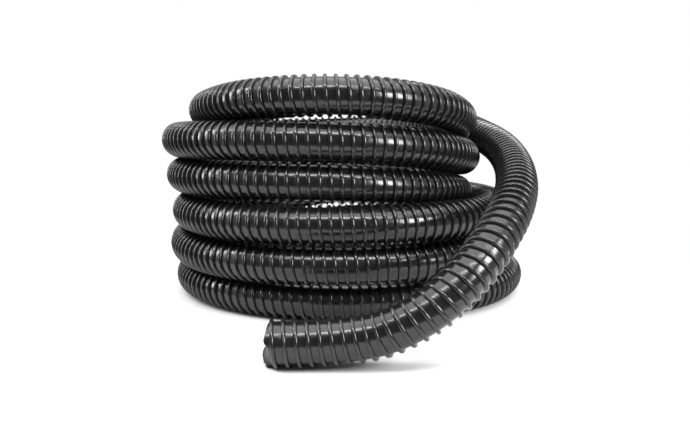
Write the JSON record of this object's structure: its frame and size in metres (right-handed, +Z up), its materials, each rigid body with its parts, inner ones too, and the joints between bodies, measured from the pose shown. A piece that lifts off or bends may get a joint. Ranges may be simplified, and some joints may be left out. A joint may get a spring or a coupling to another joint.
{
  "type": "vacuum hose",
  "caption": "Flexible suction hose with a helical rib wound round a soft wall, lying in a round coil, with one end swung out in front and both ends cut plain.",
  "frame": {"origin": "on the floor under the middle of the coiled hose's bounding box", "axes": "+Z up, the coil's turns stacked along it; -Y towards the free end that lies in front of the coil; +X towards the side on which the free run swings out"},
  "size_m": [0.4948, 0.6726, 0.296],
  "materials": {
    "hose_wall": "flexible black vinyl with a soft gloss",
    "hose_rib": "stiffer black vinyl with a sharper gloss"
  },
  "bodies": {
    "root": {"tail_end_wall": "hose_wall", "tail_end_rib": "hose_rib", "tail_run": "hose_wall", "hose_coil": "hose_wall", "free_run": "hose_wall", "free_end_wall": "hose_wall", "free_end_rib": "hose_rib"}
  },
  "joints": []
}
